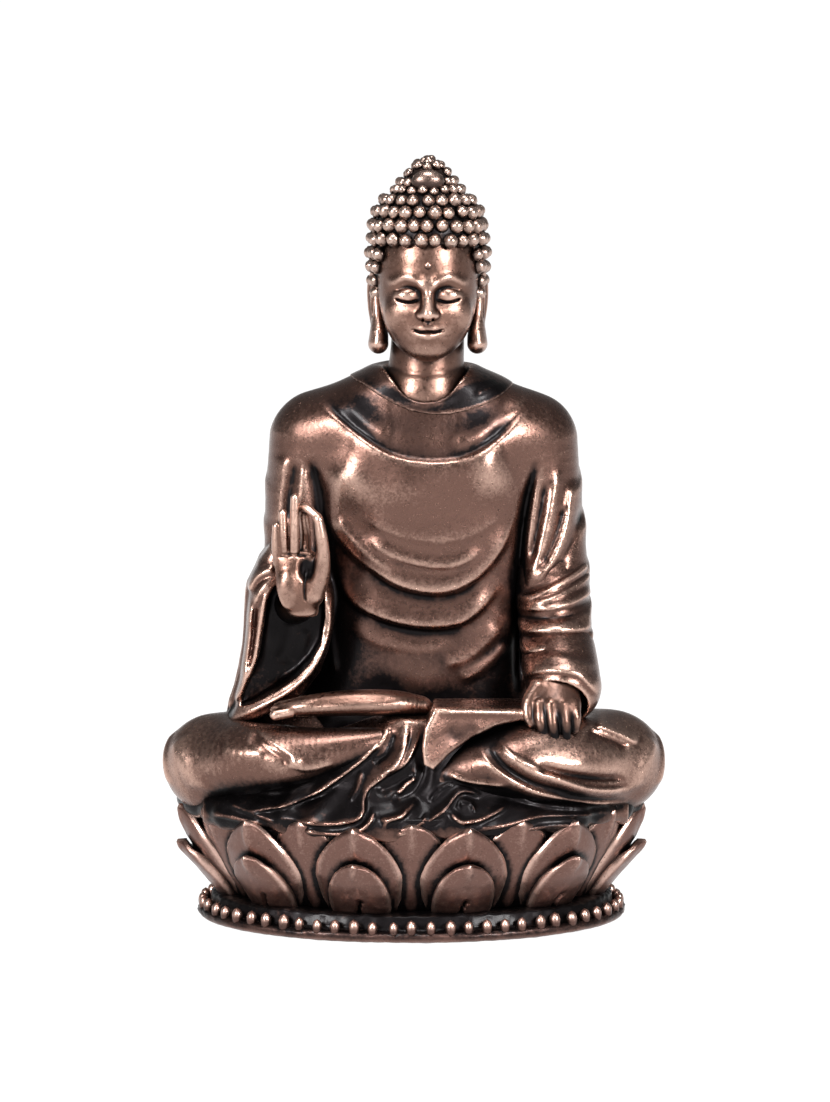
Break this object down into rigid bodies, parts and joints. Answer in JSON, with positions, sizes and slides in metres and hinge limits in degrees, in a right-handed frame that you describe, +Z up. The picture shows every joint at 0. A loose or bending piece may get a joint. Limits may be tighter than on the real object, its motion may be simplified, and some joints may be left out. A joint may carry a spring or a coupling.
{
  "type": "buddha statue",
  "caption": "Seated robed Buddha on an oval lotus pedestal, one hand raised and one on the knee, for display on a shelf or table.",
  "frame": {"origin": "middle of the flat underside, on the surface that the statue stands on", "axes": "+Z up, +X towards the figure's own left, -Y the way the figure faces"},
  "size_m": [0.0992, 0.0665, 0.1499],
  "materials": {
    "robe_bronze": "satin, dark patina in the folds",
    "flesh_bronze": "satin, rubbed bright on the high points",
    "hair_bronze": "rubbed bright curls over dark patina",
    "lotus_bronze": "satin, dark patina between the petals",
    "base_felt": "matt felt"
  },
  "bodies": {
    "root": {"back_petal_01": "lotus_bronze", "back_petal_02": "lotus_bronze", "back_petal_03": "lotus_bronze", "back_petal_04": "lotus_bronze", "back_petal_05": "lotus_bronze", "back_petal_06": "lotus_bronze", "back_petal_07": "lotus_bronze", "back_petal_08": "lotus_bronze", "back_petal_09": "lotus_bronze", "back_petal_10": "lotus_bronze", "back_petal_11": "lotus_bronze", "base_felt": "base_felt", "big_petal_01": "lotus_bronze", "big_petal_02": "lotus_bronze", "big_petal_03": "lotus_bronze", "big_petal_04": "lotus_bronze", "big_petal_05": "lotus_bronze", "big_petal_06": "lotus_bronze", "big_petal_07": "lotus_bronze", "big_petal_08": "lotus_bronze", "big_petal_09": "lotus_bronze", "big_petal_10": "lotus_bronze", "big_petal_11": "lotus_bronze", "bun_jewel": "hair_bronze", "collar_fold": "robe_bronze", "curled_bun": "hair_bronze", "foot": "lotus_bronze", "hair_cap": "hair_bronze", "head": "flesh_bronze", "lap_cloth": "robe_bronze", "left_calf": "robe_bronze", "left_cuff": "robe_bronze", "left_ear": "flesh_bronze", "left_foot": "flesh_bronze", "left_hand": "flesh_bronze", "left_leg": "robe_bronze", "left_sleeve": "robe_bronze", "left_upper_sleeve": "robe_bronze", "lotus_drum": "lotus_bronze", "neck": "flesh_bronze", "pearl_band": "lotus_bronze", "right_ear": "flesh_bronze", "right_forearm": "flesh_bronze", "right_hand": "flesh_bronze", "right_leg": "robe_bronze", "right_sleeve": "robe_bronze", "right_upper_sleeve": "robe_bronze", "robe_body": "robe_bronze", "robe_hem": "robe_bronze", "small_petal_01": "lotus_bronze", "small_petal_02": "lotus_bronze", "small_petal_03": "lotus_bronze", "small_petal_04": "lotus_bronze", "small_petal_05": "lotus_bronze", "small_petal_06": "lotus_bronze", "small_petal_07": "lotus_bronze", "small_petal_08": "lotus_bronze", "small_petal_09": "lotus_bronze", "small_petal_10": "lotus_bronze", "small_petal_11": "lotus_bronze"}
  },
  "joints": []
}
